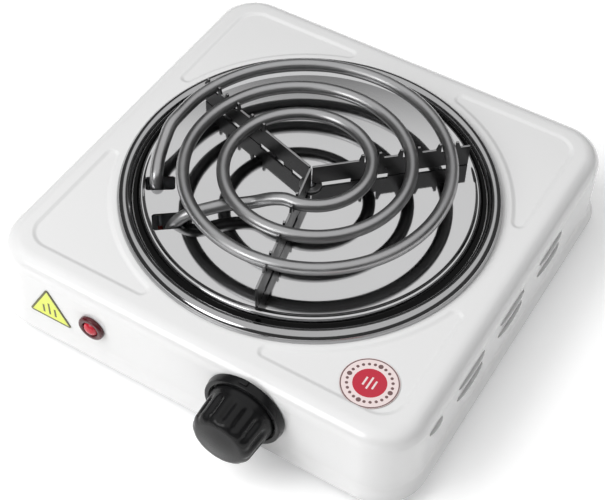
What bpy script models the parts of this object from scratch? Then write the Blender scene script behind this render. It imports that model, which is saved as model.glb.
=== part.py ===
"""Single-coil electric hot plate: a pressed and enamelled housing, a polished drip pan under a
chrome trim ring, a tubular heating element on a three-armed spider, a thermostat with its knob,
an indicator lamp, a base plate on rubber feet, and the wiring. Metres, +Z up, front towards -Y."""

import math

import bmesh
import bpy
from mathutils import Matrix, Vector

# Housing, with its own centre at x = 0, y = 0 under the empty called product.
BODY = 0.230
BODY_CORNER = 0.0233
EDGE_ROUND = 0.009
FLARE = 0.0025
FLARE_HEIGHT = 0.008
SHEET = 0.0012
EDGE_Z = 0.008
DECK_Z = 0.052
HALF = BODY / 2
PRODUCT_Y = 0.0100
GAP = 0.0003

# Corner panels pressed into the deck.
PANEL_LINE = 0.102
PANEL_ARC = 0.0990
PANEL_CORNER = 0.013
PANEL_TIP = 0.0028
PANEL_DEPTH = 0.0007

# Burner: pan, ring and heating tube, round one vertical axis.
BURNER_Y = -0.0015
OPENING_R = 0.084
RING_R = 0.0956
PAN_Z = DECK_Z + 0.0032
TUBE_R = 0.00325
TURN_Z = DECK_Z + 0.0175
SPIRAL_CENTRE = Vector((-0.0013, BURNER_Y - 0.0008))
SPIRAL_START = math.radians(-84)
SPIRAL_END = math.radians(905)
SPIRAL_R = 0.0251
SPIRAL_PITCH = 0.0196
SPIRAL_REACH = 0.0731
TAIL_Z = TURN_Z - 0.0073
OUTER_LEG = Vector((-0.0646, -0.0415))
INNER_LEG = Vector((-0.0444, -0.0589))
LEG_BOTTOM = 0.040
# Pan slots for the outer and inner leg: middle, half length and half width, and turn in degrees.
SLOTS = (
    (Vector((-0.0635, -0.0398)), (0.0074, 0.0046), 34),
    (Vector((-0.0453, -0.0580)), (0.0086, 0.0053), 38),
)

# Support spider: three blades on edge. Each has its direction, and the stretches of its lower
# edge that stand clear of the pan, as distances from the axis.
ARMS = (
    ("right", 43, ((0.0008, 0.0205), (0.0340, 0.0395), (0.0500, 0.0700))),
    ("left", 163, ((0.0008, 0.0135), (0.0195, 0.0375), (0.0500, 0.0700))),
    ("front", 283, ((0.0008, 0.0140), (0.0220, 0.0400), (0.0520, 0.0700))),
)
ARM_THICK = 0.0012
ARM_START, ARM_END = 0.0008, 0.0810
ARM_SEAT = TURN_Z - TUBE_R - GAP
ARM_BACK = TURN_Z - 0.0012
ARM_ARCH = PAN_Z + 0.0017
EAR_TOP = TURN_Z + 0.0024
EAR_WIDE, EAR_FOOT = 0.0014, 0.0026
HUB_R, HUB_TOP = 0.0058, PAN_Z + GAP + 0.0010

# Front controls.
KNOB_X = 0.035
KNOB_Z = EDGE_Z + 0.0235
KNOB_LENGTH = 0.025
KNOB_RIBS = 14
LAMP_X = -0.0518
LAMP_Z = EDGE_Z + 0.022
GLAND_X = 0.060
GLAND_Z = EDGE_Z + 0.016

# Base.
BASE_Z = EDGE_Z + 0.0015
BASE_SHEET = 0.0010
FOOT_AT = 0.088

scene = bpy.context.scene
for old in list(bpy.data.objects):
    bpy.data.objects.remove(old, do_unlink=True)
product = bpy.data.objects.new("product", None)
scene.collection.objects.link(product)
product.location = (0, PRODUCT_Y, 0)


def material(name, colour, roughness, metallic=0.0):
    made = bpy.data.materials.new(name)
    made.use_nodes = True
    shader = made.node_tree.nodes["Principled BSDF"]
    shader.inputs["Base Color"].default_value = (*colour, 1)
    shader.inputs["Roughness"].default_value = roughness
    shader.inputs["Metallic"].default_value = metallic
    return made


ENAMEL = material("white_enamel", (0.80, 0.80, 0.80), 0.25)
CHROME = material("chrome", (0.75, 0.75, 0.76), 0.06, 1.0)
PAN_STEEL = material("polished_steel", (0.70, 0.70, 0.71), 0.10, 1.0)
SHEATH = material("heating_tube_steel", (0.32, 0.32, 0.33), 0.28, 1.0)
SPIDER = material("spider_steel", (0.25, 0.25, 0.26), 0.35, 1.0)
ZINC = material("zinc_plated_steel", (0.55, 0.56, 0.58), 0.35, 1.0)
BRASS = material("brass", (0.65, 0.48, 0.22), 0.30, 1.0)
CERAMIC = material("steatite", (0.82, 0.80, 0.74), 0.55)
BLACK = material("black_phenolic", (0.012, 0.012, 0.013), 0.22)
RUBBER = material("black_rubber", (0.03, 0.03, 0.03), 0.80)
RED_LENS = material("red_lens", (0.45, 0.01, 0.02), 0.12)
MAROON = material("maroon_plastic", (0.05, 0.006, 0.010), 0.30)
GLASS = material("lamp_glass", (0.85, 0.55, 0.35), 0.05)
YELLOW = material("yellow_label", (0.75, 0.78, 0.12), 0.45)
RED_LABEL = material("red_label", (0.45, 0.03, 0.05), 0.45)
SLEEVE_RED = material("red_silicone", (0.45, 0.03, 0.02), 0.55)
SLEEVE_BLUE = material("blue_silicone", (0.03, 0.08, 0.35), 0.55)
SLEEVE_WHITE = material("white_silicone", (0.75, 0.75, 0.73), 0.55)


def finish(name, bm, look):
    """Turns a bmesh into a named object under the product's empty, smooth except at real edges."""
    bmesh.ops.recalc_face_normals(bm, faces=bm.faces[:])
    mesh = bpy.data.meshes.new(name)
    bm.to_mesh(mesh)
    bm.free()
    mesh.materials.append(look)
    mesh.shade_smooth()
    mesh.set_sharp_from_angle(angle=math.radians(35))
    obj = bpy.data.objects.new(name, mesh)
    scene.collection.objects.link(obj)
    obj.parent = product
    return obj


def loft(bm, loops, ends="caps"):
    """Joins loops that have the same number of points. ends is caps, or round for a closed ring of loops."""
    rows = [[bm.verts.new(point) for point in loop] for loop in loops]
    pairs = list(zip(rows, rows[1:]))
    if ends == "round":
        pairs.append((rows[-1], rows[0]))
    for low, high in pairs:
        count = len(low)
        for k in range(count):
            bm.faces.new((low[k], low[(k + 1) % count], high[(k + 1) % count], high[k]))
    if ends == "caps":
        bm.faces.new(rows[0])
        bm.faces.new(rows[-1])


def rounded_square(half, radius, z, per_corner=8, per_side=6):
    """A closed loop of points round a square with rounded corners, seen from above."""
    points = []
    for quarter in range(4):
        turn = math.radians(90 * quarter)
        for k in range(per_corner + 1):
            a = turn + math.radians(90) * k / per_corner
            middle = Matrix.Rotation(turn, 2) @ Vector((half - radius, half - radius))
            points.append(middle + radius * Vector((math.cos(a), math.sin(a))))
        first = points[-1]
        last = Matrix.Rotation(turn + math.radians(90), 2) @ Vector((half, half - radius))
        points.extend(first.lerp(last, k / per_side) for k in range(1, per_side))
    return [(p.x, p.y, z) for p in points]


def circle_under(loop, radius, z, centre=(0, 0)):
    """Points on a circle, each in the direction of the loop's own point."""
    made = []
    for x, y, _ in loop:
        way = Vector((x - centre[0], y - centre[1])).normalized() * radius
        made.append((centre[0] + way.x, centre[1] + way.y, z))
    return made


def ring_points(radius, height, count):
    return [
        (radius * math.cos(math.tau * k / count), radius * math.sin(math.tau * k / count), height)
        for k in range(count)
    ]


FACINGS = {
    "Z": Matrix.Identity(4),
    "-Y": Matrix.Rotation(math.radians(90), 4, "X"),
    "Y": Matrix.Rotation(math.radians(-90), 4, "X"),
}


def turned(name, profile, look, place, facing="Z", segments=24):
    """A turned piece. The profile is a list of (radius, height), open from axis to axis for a solid,
    and closed for a ring; facing says which way its height points."""
    bm = bmesh.new()
    solid = profile[0][0] == 0
    inner = profile[1:-1] if solid else profile
    loft(bm, [ring_points(r, h, segments) for r, h in inner], "open" if solid else "round")
    if solid:
        for tip, row in ((profile[0], inner[0]), (profile[-1], inner[-1])):
            rim = [v for v in bm.verts if abs(v.co.z - row[1]) < 1e-7]
            rim = [v for v in rim if abs(v.co.xy.length - row[0]) < 1e-7]
            if tip[1] == row[1]:
                bmesh.ops.contextual_create(bm, geom=rim)
                continue
            top = bm.verts.new((0, 0, tip[1]))
            rim.sort(key=lambda v: math.atan2(v.co.y, v.co.x))
            for k, v in enumerate(rim):
                bm.faces.new((v, rim[(k + 1) % len(rim)], top))
    bmesh.ops.transform(bm, matrix=FACINGS[facing], verts=bm.verts[:])
    obj = finish(name, bm, look)
    obj.location = place
    return obj


def hex_nut(name, bore, across, low, high, look, place, facing="Z"):
    """A nut with a round bore and six flats, across the given distance."""
    flats = []
    for k in range(24):
        a = math.tau * k / 24
        r = across / 2 / math.cos(a % (math.tau / 6) - math.tau / 12)
        flats.append((r * math.cos(a), r * math.sin(a)))
    bm = bmesh.new()
    outer = [[(x, y, z) for x, y in flats] for z in (low, high)]
    loft(bm, [ring_points(bore, low, 24), *outer, ring_points(bore, high, 24)], "round")
    bmesh.ops.transform(bm, matrix=FACINGS[facing], verts=bm.verts[:])
    obj = finish(name, bm, look)
    obj.location = place


def add_box(bm, low, high):
    low, high = Vector(low), Vector(high)
    move = Matrix.Translation((low + high) / 2) @ Matrix.Diagonal((*(high - low), 1))
    return bmesh.ops.create_cube(bm, size=1, matrix=move)["verts"]


def add_rod(bm, start, end, radius, segments=20):
    start, end = Vector(start), Vector(end)
    way = (end - start).to_track_quat("Z", "Y").to_matrix().to_4x4()
    bmesh.ops.create_cone(
        bm,
        cap_ends=True,
        segments=segments,
        radius1=radius,
        radius2=radius,
        depth=(end - start).length,
        matrix=Matrix.Translation((start + end) / 2) @ way,
    )


def box(name, low, high, look):
    bm = bmesh.new()
    add_box(bm, low, high)
    return finish(name, bm, look)


def cut(obj, bm):
    """Subtracts a bmesh, which may hold several separate cutters, from an object."""
    cutter = finish(obj.name + "_cutter", bm, ZINC)
    cutter.hide_render = True
    cutter.display_type = "WIRE"
    change = obj.modifiers.new("holes", "BOOLEAN")
    change.operation = "DIFFERENCE"
    change.solver = "EXACT"
    change.object = cutter


def smooth_route(stops, step):
    """Points along a smooth curve through the stops, about a step apart."""
    stops = [Vector(p) for p in stops]
    padded = [stops[0] * 2 - stops[1], *stops, stops[-1] * 2 - stops[-2]]
    points = []
    for a, b, c, d in zip(padded, padded[1:], padded[2:], padded[3:]):
        count = max(1, round((c - b).length / step))
        for k in range(count):
            t = k / count
            points.append(
                0.5 * (2 * b + (c - a) * t + (2 * a - 5 * b + 4 * c - d) * t**2)
                + 0.5 * (3 * b - a - 3 * c + d) * t**3
            )
    points.append(stops[-1])
    return points


def tube(name, points, radius, look, resolution=2):
    curve = bpy.data.curves.new(name, "CURVE")
    curve.dimensions = "3D"
    spline = curve.splines.new("POLY")
    spline.points.add(len(points) - 1)
    for point, place in zip(spline.points, points):
        point.co = (*place, 1)
    curve.bevel_depth = radius
    curve.bevel_resolution = resolution
    curve.use_fill_caps = True
    curve.materials.append(look)
    obj = bpy.data.objects.new(name, curve)
    scene.collection.objects.link(obj)
    obj.parent = product
    return obj


def polar(radius, degrees, z, centre=(0, BURNER_Y)):
    a = math.radians(degrees)
    return Vector((centre[0] + radius * math.cos(a), centre[1] + radius * math.sin(a), z))


# Housing ------------------------------------------------------------------------------------


def panel_outline(side_x, side_y):
    """One pressed corner panel: two straight edges, a round corner, and an arc round the middle."""
    # Each tip's circle touches its straight edge from inside and the arc from outside.
    reach = PANEL_LINE - PANEL_TIP
    offset = math.sqrt((PANEL_ARC + PANEL_TIP) ** 2 - reach**2)
    spread = math.atan2(offset, reach)
    corner = PANEL_LINE - PANEL_CORNER
    # Stretches of the outline: centre, radius, first and last angle, steps.
    stretches = (
        (Vector((offset, reach)), PANEL_TIP, math.radians(90), math.tau * 0.75 - spread, 5),
        (Vector((0, 0)), PANEL_ARC, math.radians(90) - spread, spread, 12),
        (Vector((reach, offset)), PANEL_TIP, math.pi + spread, math.tau, 5),
        (Vector((corner, corner)), PANEL_CORNER, 0, math.radians(90), 6),
    )
    points = []
    for centre, radius, first, last, steps in stretches:
        for k in range(steps + 1):
            a = first + (last - first) * k / steps
            points.append(centre + radius * Vector((math.cos(a), math.sin(a))))
    kept = [p for p, after in zip(points, points[1:] + points[:1]) if (p - after).length > 1e-6]
    return [(side_x * p.x, side_y * p.y) for p in kept]


def make_housing():
    outer, inner = [], []
    for k in range(5):
        t = k / 4
        grow = FLARE * (1 - t) ** 2
        z = EDGE_Z + FLARE_HEIGHT * t
        outer.append(rounded_square(HALF + grow, BODY_CORNER + grow, z))
        if k in (0, 2, 4):
            grow -= SHEET
            inner.append(rounded_square(HALF + grow, BODY_CORNER + grow, z))
    for k in range(7):
        a = math.radians(15 * k)
        for loops, radius, shrink in ((outer, EDGE_ROUND, 0), (inner, EDGE_ROUND - SHEET, SHEET)):
            if loops is inner and k not in (0, 2, 4, 6):
                continue
            grow = -shrink - radius * (1 - math.cos(a))
            z = DECK_Z - EDGE_ROUND + radius * math.sin(a)
            loops.append(rounded_square(HALF + grow, BODY_CORNER + grow, z))
    centre = (0, BURNER_Y)
    opening = circle_under(outer[-1], OPENING_R, DECK_Z, centre)
    opening_below = circle_under(outer[-1], OPENING_R, DECK_Z - SHEET, centre)
    bm = bmesh.new()
    loft(bm, outer + [opening, opening_below] + inner[::-1], "round")
    shell = finish("housing_shell", bm, ENAMEL)

    holes = bmesh.new()
    for side_x in (-1, 1):
        for side_y in (-1, 1):
            outline = panel_outline(side_x, side_y)
            levels = (DECK_Z - PANEL_DEPTH, DECK_Z + 0.003)
            loft(holes, [[(x, y, z) for x, y in outline] for z in levels])
    through = 0.006
    front = -HALF
    for x, z, radius in ((KNOB_X, KNOB_Z, 0.0053), (LAMP_X, LAMP_Z, 0.0053)):
        add_rod(holes, (x, front - through, z), (x, front + through, z), radius)
    for side in (-1, 1):
        x = KNOB_X + side * 0.0135
        add_rod(holes, (x, front - through, KNOB_Z), (x, front + through, KNOB_Z), 0.0019, 12)
    add_rod(holes, (GLAND_X, HALF - through, GLAND_Z), (GLAND_X, HALF + through, GLAND_Z), 0.0053)
    for side in (-1, 1):
        for y, length in ((0.038, 0.026), (-0.006, 0.026), (-0.049, 0.026), (-0.0845, 0.012)):
            for z in (EDGE_Z + 0.0325, EDGE_Z + 0.0235):
                if length < 0.02 and z < EDGE_Z + 0.03:
                    continue
                low = (side * HALF - through, y - length / 2, z - 0.0012)
                high = (side * HALF + through, y + length / 2, z + 0.0012)
                add_box(holes, low, high)
    cut(shell, holes)


make_housing()

# Burner -------------------------------------------------------------------------------------


def make_ring_and_pan():
    """The ring is a rolled bead of sheet. The pan has a rim bead, a wall, and a flange on the deck."""
    half_width, height, wall = 0.0038, 0.0043, 0.0008
    middle = RING_R - half_width
    bead = []
    for k in range(7):
        a = math.radians(30 * k)
        bead.append((middle + half_width * math.cos(a), DECK_Z + GAP + height * math.sin(a)))
    for k in range(7):
        a = math.radians(180 - 30 * k)
        r = middle + (half_width - wall) * math.cos(a)
        bead.append((r, DECK_Z + GAP + (height - wall) * math.sin(a)))
    turned("trim_ring", bead, CHROME, (0, BURNER_Y, 0), segments=60)

    sheet = 0.0007
    upper = [
        (0.0034, PAN_Z),
        (0.0812, PAN_Z),
        (0.0822, PAN_Z + 0.0004),
        (0.0832, PAN_Z + 0.0006),
        (0.0842, PAN_Z + 0.0002),
        (0.0847, PAN_Z - 0.0010),
        (0.0849, DECK_Z + 0.0012),
        (0.0856, DECK_Z + 0.0009),
        (0.0876, DECK_Z + 0.0009),
    ]
    lower = [
        (0.0876, DECK_Z + GAP),
        (0.0850, DECK_Z + GAP),
        (0.0843, DECK_Z + 0.0007),
        (0.0840, PAN_Z - 0.0012),
        (0.0836, PAN_Z - 0.0005),
        (0.0830, PAN_Z - 0.0001),
        (0.0822, PAN_Z - 0.0002),
        (0.0812, PAN_Z - sheet),
        (0.0034, PAN_Z - sheet),
    ]
    pan = turned("drip_pan", upper + lower, PAN_STEEL, (0, BURNER_Y, 0), segments=60)
    slots = bmesh.new()
    for middle, (long, short), degrees in SLOTS:
        made = add_box(slots, (-long, -short, PAN_Z - 0.004), (long, short, PAN_Z + 0.003))
        turn = Matrix.Rotation(math.radians(degrees), 4, "Z")
        centre = (middle.x, middle.y - BURNER_Y, 0)
        bmesh.ops.transform(slots, verts=made, matrix=Matrix.Translation(centre) @ turn)
    cut(pan, slots)
    bpy.data.objects["drip_pan_cutter"].location = (0, BURNER_Y, 0)


make_ring_and_pan()


def spiral(angle):
    r = min(SPIRAL_R + SPIRAL_PITCH * (angle - SPIRAL_START) / math.tau, SPIRAL_REACH)
    x = SPIRAL_CENTRE.x + r * math.cos(angle)
    return Vector((x, SPIRAL_CENTRE.y + r * math.sin(angle), TURN_Z))


def make_coil():
    """One sheath: up the inner leg, along the straight tail, an S-bend, the turns, down the outer leg."""
    stops = [
        Vector((*INNER_LEG, LEG_BOTTOM)),
        Vector((*INNER_LEG, LEG_BOTTOM + 0.007)),
        Vector((INNER_LEG.x + 0.0006, INNER_LEG.y + 0.0005, PAN_Z - 0.0032)),
        Vector((INNER_LEG.x + 0.0026, INNER_LEG.y + 0.0020, PAN_Z + 0.0008)),
        Vector((INNER_LEG.x + 0.0062, INNER_LEG.y + 0.0047, TAIL_Z - 0.0020)),
        Vector((-0.0335, -0.0505, TAIL_Z)),
        Vector((-0.0295, -0.0455, TAIL_Z)),
        Vector((-0.0249, -0.0402, TAIL_Z)),
        Vector((-0.0190, -0.0355, TAIL_Z)),
        Vector((-0.0130, -0.0315, TAIL_Z + 0.0012)),
        Vector((-0.0060, -0.0292, TURN_Z - 0.0022)),
    ]
    turns = 70
    for k in range(turns + 1):
        stops.append(spiral(SPIRAL_START + (SPIRAL_END - SPIRAL_START) * k / turns))
    end_r = (OUTER_LEG - Vector((0, BURNER_Y))).length
    end_angle = math.degrees(math.atan2(OUTER_LEG.y - BURNER_Y, OUTER_LEG.x)) + 360
    first = math.degrees(SPIRAL_END) - 720
    drops = ((0.20, 0.0009), (0.36, 0.0030), (0.55, 0.0052), (0.74, 0.0068), (0.92, 0.0092))
    for share, drop in drops:
        at = first + (end_angle - first) * share
        stops.append(polar(end_r - 0.0010 * (1 - share), at, TURN_Z - drop))
    stops.append(Vector((*OUTER_LEG, TURN_Z - 0.0130)))
    stops.append(Vector((*OUTER_LEG, TURN_Z - 0.0205)))
    stops.append(Vector((*OUTER_LEG, LEG_BOTTOM)))
    tube("coil_element", smooth_route(stops, 0.0095), TUBE_R, SHEATH)
    for side, leg in (("outer", OUTER_LEG), ("inner", INNER_LEG)):
        low = LEG_BOTTOM - GAP
        ring = [(0.0016, low - 0.004), (0.0032, low - 0.004), (0.0032, low), (0.0016, low)]
        turned("ceramic_bush_" + side, ring, CERAMIC, (*leg, 0), segments=16)
        rod = [(0, low - 0.014), (0.0013, low - 0.014), (0.0013, low), (0, low)]
        turned("terminal_pin_" + side, rod, ZINC, (*leg, 0), segments=12)


make_coil()


def turn_radii(degrees):
    """Distances from the burner's axis at which the turns cross this direction."""
    axis = Vector((0, BURNER_Y))
    way = Vector((math.cos(math.radians(degrees)), math.sin(math.radians(degrees))))
    found = []
    steps = 3000
    places = [
        spiral(SPIRAL_START + (SPIRAL_END - SPIRAL_START) * k / steps).xy - axis for k in range(steps)
    ]
    for a, b in zip(places, places[1:]):
        if way.cross(a) * way.cross(b) <= 0 and way.dot(a) > 0:
            found.append(way.dot(a))
    return found


def make_spider():
    """Blades stand on short feet, meet at the axis, and hold each turn in a notch between two ears."""
    floor = PAN_Z + GAP
    clear = TUBE_R + 0.0004
    for side, degrees, arches in ARMS:
        outline = [(ARM_START, ARM_BACK)]
        for r in turn_radii(degrees):
            for edge, way in ((r - clear, -1), (r + clear, 1)):
                ear = [
                    (edge + way * EAR_FOOT, ARM_BACK), (edge + way * EAR_WIDE, EAR_TOP),
                    (edge, EAR_TOP), (edge, ARM_SEAT),
                ]
                outline += ear[::-way]
        outline += [(ARM_END, ARM_BACK), (ARM_END, floor)]
        for low, high in arches[::-1]:
            outline += [(high, floor), (high, ARM_ARCH), (low, ARM_ARCH), (low, floor)]
        # The innermost arch runs out at the axis, where the hub disc lies below.
        outline.pop()
        bm = bmesh.new()
        loft(bm, [[(r, y, z) for r, z in outline] for y in (-ARM_THICK / 2, ARM_THICK / 2)])
        arm = finish("support_arm_" + side, bm, SPIDER)
        arm.location = (0, BURNER_Y, 0)
        arm.rotation_euler = (0, 0, math.radians(degrees))
    hub = [(0.0026, floor), (HUB_R, floor), (HUB_R, HUB_TOP), (0.0026, HUB_TOP)]
    turned("spider_hub", hub, SPIDER, (0, BURNER_Y, 0), segments=24)


make_spider()

# Inside and base ----------------------------------------------------------------------------

SHIELD_Z = 0.0425
NUT_Z = BASE_Z - 0.0045


def make_centre_stack():
    """A long bolt clamps spider, pan, shield and base plate, with spacer tubes between them."""
    sheet = 0.0008
    place = (0, BURNER_Y, 0)
    shield = [
        (0.0031, SHIELD_Z), (0.0640, SHIELD_Z), (0.0662, SHIELD_Z + 0.0012),
        (0.0668, SHIELD_Z + 0.0060), (0.0660, SHIELD_Z + 0.0060), (0.0654, SHIELD_Z + 0.0016),
        (0.0636, SHIELD_Z + sheet), (0.0031, SHIELD_Z + sheet),
    ]
    turned("heat_shield", shield, ZINC, place, segments=32)
    for name, low, high in (
        ("shield_spacer", SHIELD_Z + sheet + GAP, PAN_Z - 0.0007 - GAP),
        ("tie_spacer", BASE_Z + BASE_SHEET + GAP, SHIELD_Z - GAP),
    ):
        ring = [(0.0030, low), (0.0045, low), (0.0045, high), (0.0030, high)]
        turned(name, ring, ZINC, place, segments=16)
    # The bolt's countersunk head sits in the hub disc; its end takes the nut under the base plate.
    head = HUB_TOP
    bolt = [(0, BASE_Z - 0.0060), (0.0021, BASE_Z - 0.0060), (0.0021, head), (0, head)]
    turned("tie_bolt", bolt, ZINC, place, segments=16)
    hex_nut("tie_nut", 0.0024, 0.008, NUT_Z, BASE_Z - GAP, ZINC, place)


make_centre_stack()


def make_base():
    half, corner = HALF - 0.0020, BODY_CORNER - 0.0020
    bm = bmesh.new()
    levels = (BASE_Z, BASE_Z + BASE_SHEET)
    loft(bm, [rounded_square(half, corner, z, per_corner=5, per_side=1) for z in levels])
    plate = finish("base_plate", bm, ZINC)
    holes = bmesh.new()
    deep, high = BASE_Z - 0.005, BASE_Z + 0.005
    for x in (-FOOT_AT, FOOT_AT):
        for y in (-FOOT_AT, FOOT_AT):
            add_rod(holes, (x, y, deep), (x, y, high), 0.0021, 12)
    add_rod(holes, (0, BURNER_Y, deep), (0, BURNER_Y, high), 0.0026, 12)
    for row in (-1, 1):
        for k in range(5):
            x = -0.048 + 0.024 * k
            add_box(holes, (x - 0.002, row * 0.052 - 0.016, deep), (x + 0.002, row * 0.052 + 0.016, high))
    cut(plate, holes)

    foot_top = BASE_Z - GAP
    foot = [
        (0.0020, 0.0050), (0.0046, 0.0050), (0.0046, 0.0), (0.0086, 0.0),
        (0.0090, 0.0006), (0.0078, foot_top), (0.0020, foot_top),
    ]
    screw = [
        (0, 0.0026), (0.0038, 0.0026), (0.0038, 0.0047), (0.0017, 0.0047),
        (0.0017, 0.0160), (0, 0.0160),
    ]
    for row, y in (("front", -FOOT_AT), ("rear", FOOT_AT)):
        for side, x in (("left", -FOOT_AT), ("right", FOOT_AT)):
            turned(f"rubber_foot_{row}_{side}", foot, RUBBER, (x, y, 0), segments=16)
            turned(f"foot_screw_{row}_{side}", screw, ZINC, (x, y, 0), segments=12)


make_base()

# Thermostat and knob ------------------------------------------------------------------------

WALL_IN = -HALF + SHEET
BLADE_ROOT_X = KNOB_X - 0.0165
BLADE_Y = -0.0990


def make_thermostat():
    """A bracket on the front wall carries a screwed bush, a ceramic stack and three blades."""
    back = WALL_IN + GAP
    plate = box(
        "thermostat_bracket",
        (KNOB_X - 0.027, back, KNOB_Z - 0.011),
        (KNOB_X + 0.017, back + 0.0010, KNOB_Z + 0.011),
        ZINC,
    )
    holes = bmesh.new()
    add_rod(holes, (KNOB_X, back - 0.003, KNOB_Z), (KNOB_X, back + 0.003, KNOB_Z), 0.0053)
    for side in (-1, 1):
        x = KNOB_X + side * 0.0135
        add_rod(holes, (x, back - 0.003, KNOB_Z), (x, back + 0.003, KNOB_Z), 0.0019, 12)
    cut(plate, holes)

    # Turned pieces on the knob's axis: heights run outwards from the front wall's outer face.
    axis = (KNOB_X, -HALF, KNOB_Z)
    inside = -(SHEET + GAP + 0.0010 + GAP)
    bush = [
        (0.0031, inside - 0.0040), (0.0070, inside - 0.0040), (0.0070, inside),
        (0.0050, inside), (0.0050, 0.0036), (0.0031, 0.0036),
    ]
    turned("thermostat_bush", bush, BRASS, axis, "-Y")
    hex_nut("bush_nut", 0.0053, 0.0145, GAP, 0.0026, BRASS, axis, "-Y")
    for side, way in (("left", -1), ("right", 1)):
        screw = [
            (0, -0.0070), (0.0015, -0.0070), (0.0015, GAP), (0.0028, GAP), (0.0028, 0.0013),
            (0, 0.0013),
        ]
        place = (KNOB_X + way * 0.0135, -HALF, KNOB_Z)
        turned("bracket_screw_" + side, screw, ZINC, place, "-Y", 12)
    spindle = [
        (0, -0.0145), (0.0018, -0.0145), (0.0022, -0.0135), (0.0022, -0.0080), (0.0030, -0.0072),
        (0.0030, 0.0150), (0, 0.0150),
    ]
    turned("thermostat_spindle", spindle, BRASS, axis, "-Y")

    box(
        "ceramic_stack",
        (KNOB_X - 0.027, back + 0.0010 + GAP, KNOB_Z - 0.007),
        (BLADE_ROOT_X - GAP, -0.0900, KNOB_Z + 0.007),
        CERAMIC,
    )
    blade = box("contact_blade", (0, 0, -0.0040), (0.0290, 0.0006, 0.0040), BRASS)
    blade.location = (BLADE_ROOT_X, BLADE_Y, KNOB_Z)
    box(
        "fixed_contact_arm",
        (BLADE_ROOT_X, BLADE_Y + 0.0032, KNOB_Z - 0.0040),
        (BLADE_ROOT_X + 0.0290, BLADE_Y + 0.0040, KNOB_Z + 0.0040),
        BRASS,
    )
    box(
        "bimetal_strip",
        (BLADE_ROOT_X, BLADE_Y + 0.0064, KNOB_Z - 0.0050),
        (BLADE_ROOT_X + 0.0330, BLADE_Y + 0.0074, KNOB_Z + 0.0050),
        ZINC,
    )
    for name, y in (("input_tab", -0.1050), ("output_tab", -0.0950)):
        x = KNOB_X - 0.027 - GAP
        low = (x - 0.0080, y - 0.0004, KNOB_Z - 0.0031)
        box(name, low, (x, y + 0.0004, KNOB_Z + 0.0031), BRASS)


make_thermostat()


def knob_row(radius, height, depth):
    """One ring of the ribbed knob: four points for each rib, and flat hollows between them."""
    points = []
    for rib in range(KNOB_RIBS):
        for step, lift in ((0.00, 0.0), (0.22, 1.0), (0.50, 1.0), (0.72, 0.0)):
            a = math.tau * (rib + step) / KNOB_RIBS
            r = radius - depth * (1 - lift)
            points.append((r * math.cos(a), r * math.sin(a), height))
    return points


def make_knob():
    axis = (KNOB_X, -HALF, KNOB_Z)
    bezel = [
        (0.0176, 0.0006), (0.0186, 0.0006), (0.0204, 0.0014), (0.0190, 0.0046), (0.0183, 0.0048),
        (0.0176, 0.0043),
    ]
    turned("dial_bezel", bezel, BLACK, axis, "-Y", 40)
    tab = bmesh.new()
    add_box(tab, (-0.0024, 0.0190, 0.0009), (0.0024, 0.0214, 0.0028))
    index = finish("bezel_index_tab", tab, BLACK)
    index.location = axis
    index.rotation_euler = (math.radians(90), 0, 0)
    index.hide_render = True
    index.display_type = "WIRE"
    join = bpy.data.objects["dial_bezel"].modifiers.new("index", "BOOLEAN")
    join.operation = "UNION"
    join.solver = "EXACT"
    join.object = index

    count = KNOB_RIBS * 4
    rows = [
        ring_points(0.0041, 0.0155, count),
        ring_points(0.0041, 0.0068, count),
        ring_points(0.0062, 0.0062, count),
        ring_points(0.0062, 0.0110, count),
        ring_points(0.0130, 0.0110, count),
        ring_points(0.0140, 0.0024, count),
        ring_points(0.0165, 0.0022, count),
        knob_row(0.0169, 0.0034, 0.0),
        knob_row(0.0166, 0.0080, 0.0),
        knob_row(0.0165, 0.0100, 0.0010),
        knob_row(0.0162, 0.0190, 0.0012),
        knob_row(0.0156, 0.0215, 0.0008),
        knob_row(0.0142, 0.0234, 0.0),
        knob_row(0.0118, 0.0245, 0.0),
        knob_row(0.0080, KNOB_LENGTH, 0.0),
    ]
    bm = bmesh.new()
    loft(bm, rows)
    bmesh.ops.transform(bm, matrix=Matrix.Rotation(math.radians(90), 4, "X"), verts=bm.verts[:])
    knob = finish("control_knob", bm, BLACK)
    knob.location = axis
    clip = [(0.0033, 0.0075), (0.0038, 0.0075), (0.0038, 0.0140), (0.0033, 0.0140)]
    turned("knob_clip", clip, ZINC, axis, "-Y", 20)


make_knob()

# Lamp, gland, terminals, wiring and labels --------------------------------------------------


def make_lamp():
    axis = (LAMP_X, -HALF, LAMP_Z)
    bezel = [
        (0.0043, -0.0110), (0.0050, -0.0110), (0.0050, GAP), (0.0070, GAP), (0.0070, 0.0010),
        (0.0062, 0.0022), (0.0052, 0.0024), (0.0043, 0.0014),
    ]
    turned("lamp_bezel", bezel, MAROON, axis, "-Y", 20)
    lens = [
        (0, -0.0030), (0.0040, -0.0030), (0.0040, 0.0012), (0.0033, 0.0026), (0.0018, 0.0034),
        (0, 0.0037),
    ]
    turned("lamp_lens", lens, RED_LENS, axis, "-Y", 24)
    bulb = [
        (0, -0.0035), (0.0016, -0.0040), (0.0026, -0.0055), (0.0026, -0.0130), (0.0012, -0.0150),
        (0, -0.0152),
    ]
    turned("neon_lamp", bulb[::-1], GLASS, axis, "-Y", 16)
    inside = -(SHEET + GAP)
    clip = [
        (0.0053, inside - 0.0008), (0.0085, inside - 0.0008), (0.0085, inside), (0.0053, inside),
    ]
    turned("lamp_clip", clip, ZINC, axis, "-Y", 20)


make_lamp()


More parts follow.
